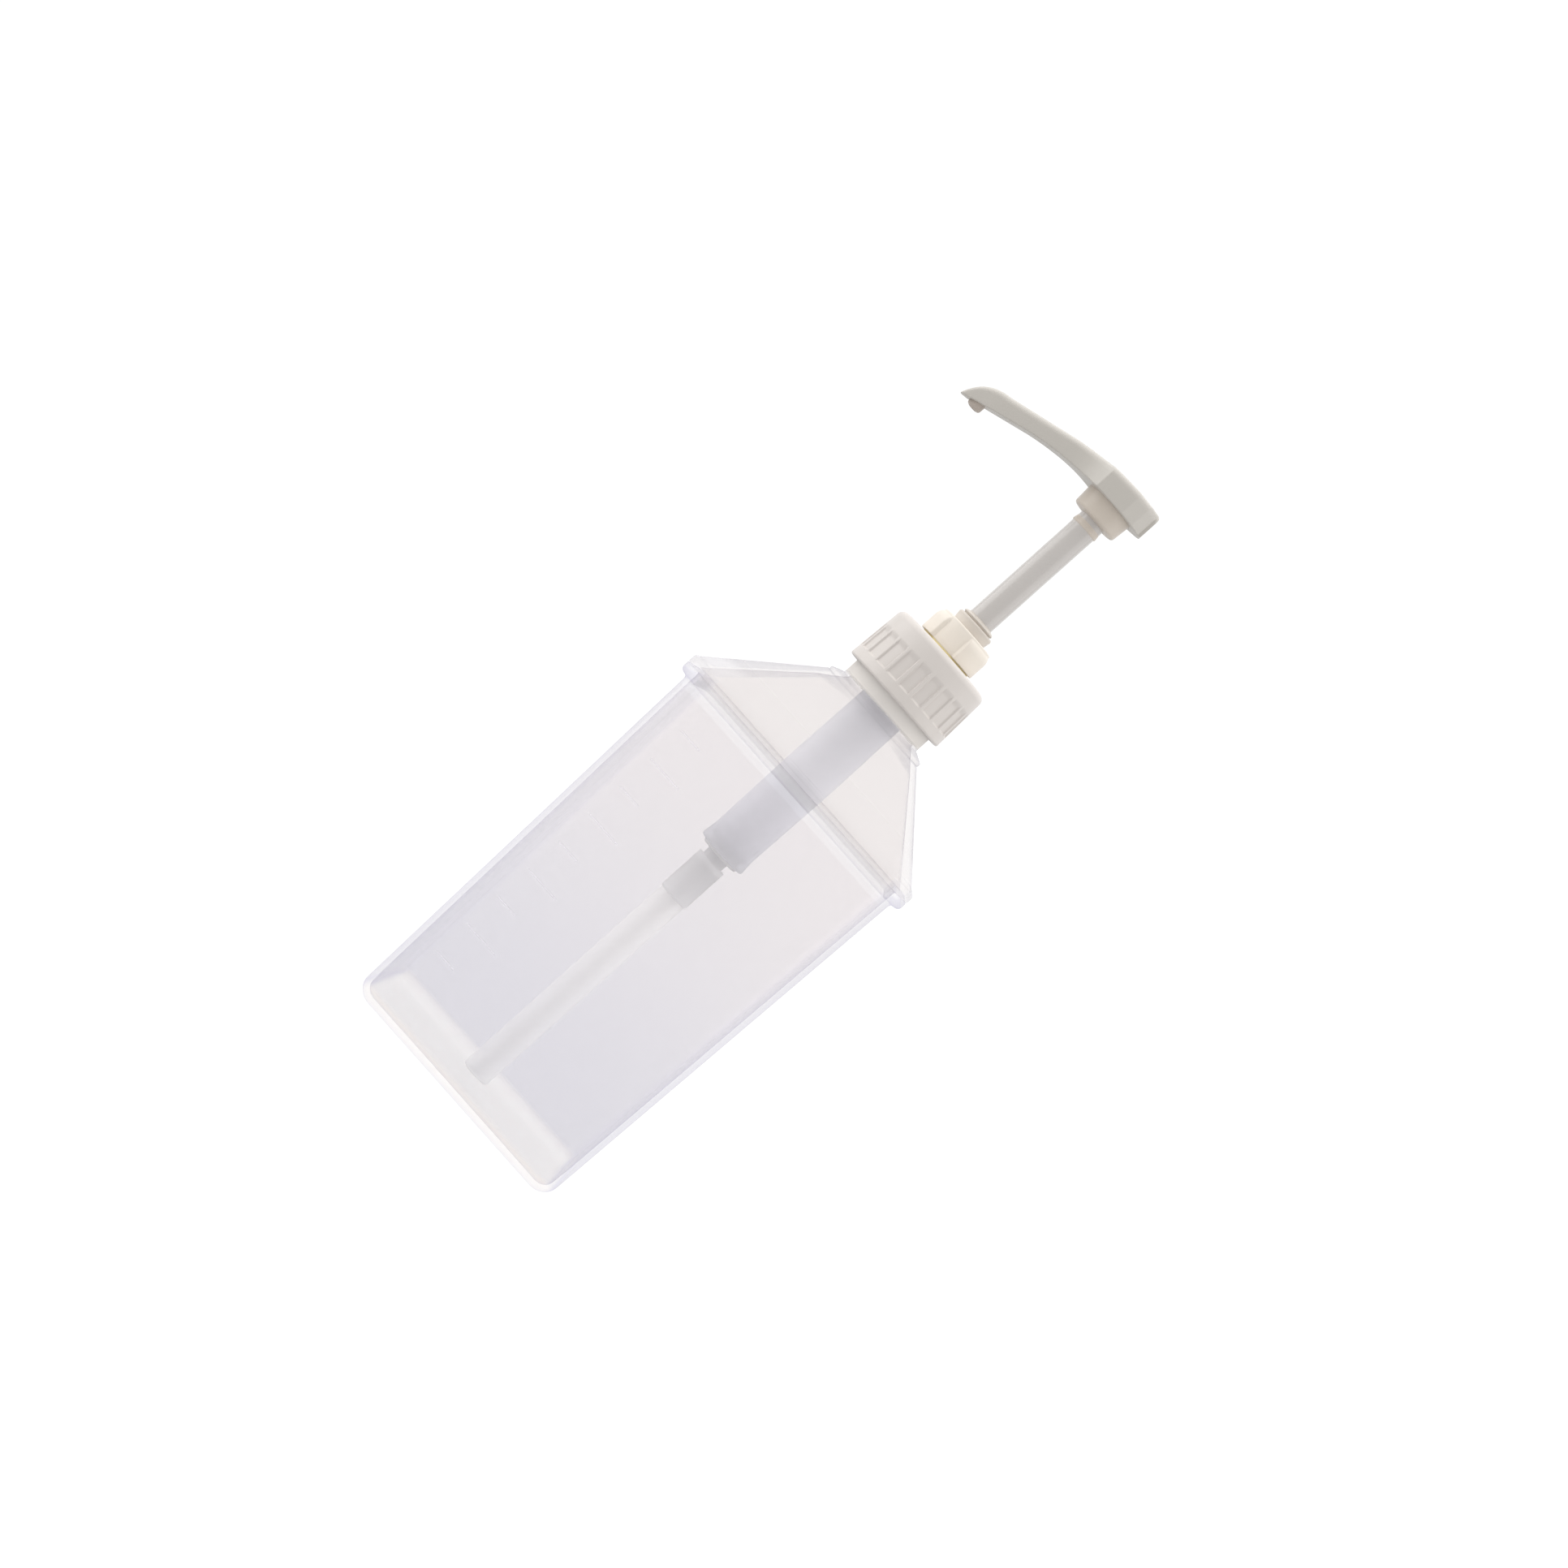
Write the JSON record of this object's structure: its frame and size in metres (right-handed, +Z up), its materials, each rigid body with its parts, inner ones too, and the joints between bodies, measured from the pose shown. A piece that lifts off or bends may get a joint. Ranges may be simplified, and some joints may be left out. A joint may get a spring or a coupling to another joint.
{
  "type": "soap pump dispenser",
  "caption": "Clear square soap bottle with pyramid hood, ribbed screw cap, lobed lock nut and a long-stroke pump whose tall stem carries a long down-turned spout.",
  "frame": {"origin": "centre of the bottle's flat base, on the surface that it stands on", "axes": "+Z up along the stem; the spout points along -X; the graduated front faces -Y"},
  "size_m": [0.1118, 0.103, 0.2935],
  "materials": {
    "clear_plastic": "clear, slightly lavender polypropylene",
    "cap_plastic": "off-white moulded plastic, satin",
    "gasket_yellow": "pale yellow elastomer",
    "cream_plastic": "cream moulded plastic, satin",
    "grey_rubber": "dark grey elastomer",
    "liner_foam": "off-white sealing liner",
    "milky_plastic": "milky bluish-white plastic",
    "tube_plastic": "translucent white tubing",
    "stem_plastic": "smooth grey-white plastic",
    "head_plastic": "warm grey-white moulded plastic",
    "collar_plastic": "warm grey moulded plastic",
    "nozzle_plastic": "darker warm grey plastic",
    "steel": "stainless steel"
  },
  "bodies": {
    "bottle": {"bottle_body": "clear_plastic", "bottle_shoulder": "clear_plastic"},
    "closure_lift": {"cap_liner": "liner_foam"},
    "closure": {"screw_cap": "cap_plastic", "nut_gasket": "gasket_yellow", "lock_nut": "cream_plastic", "guide_bushing": "cream_plastic", "stem_wiper": "grey_rubber", "pump_cylinder": "milky_plastic", "valve_housing": "milky_plastic", "dip_tube": "tube_plastic", "spring_seat": "milky_plastic", "return_spring": "steel"},
    "piston_ring": {"piston_seal": "grey_rubber"},
    "pump_head": {"piston_seat": "milky_plastic", "stem": "stem_plastic", "stem_ferrule": "collar_plastic", "hub_collar": "collar_plastic", "spout_head": "head_plastic", "nozzle_tip": "nozzle_plastic"},
    "inlet_valve": {"inlet_ball": "steel"},
    "outlet_valve": {"outlet_ball": "steel"}
  },
  "joints": [
    {"name": "cap_lift", "type": "slide", "parent": "bottle", "child": "closure_lift", "axis": [0, 0, 1], "range_m": [0, 0.00634]},
    {"name": "cap_turn", "type": "hinge", "parent": "closure_lift", "child": "closure", "pos_m": [0, 0, 0.188], "axis": [0, 0, 1], "range_deg": [0, 540]},
    {"name": "pump_press", "type": "slide", "parent": "closure", "child": "piston_ring", "axis": [0, 0, -1], "range_m": [0, 0.042], "stiffness_N_per_m": 220, "springref_m": -0.03, "deforming": ["return_spring"]},
    {"name": "head_swivel", "type": "hinge", "parent": "piston_ring", "child": "pump_head", "pos_m": [0, 0, 0.25], "axis": [0, 0, 1], "continuous": true},
    {"name": "inlet_check", "type": "slide", "parent": "closure", "child": "inlet_valve", "axis": [0, 0, 1], "range_m": [0, 0.0015]},
    {"name": "outlet_check", "type": "slide", "parent": "pump_head", "child": "outlet_valve", "axis": [0, 0, 1], "range_m": [0, 0.0015]}
  ],
  "couplings": [
    {"joint": "cap_turn", "follows": "cap_lift", "rad_per_m": 1485.4}
  ]
}
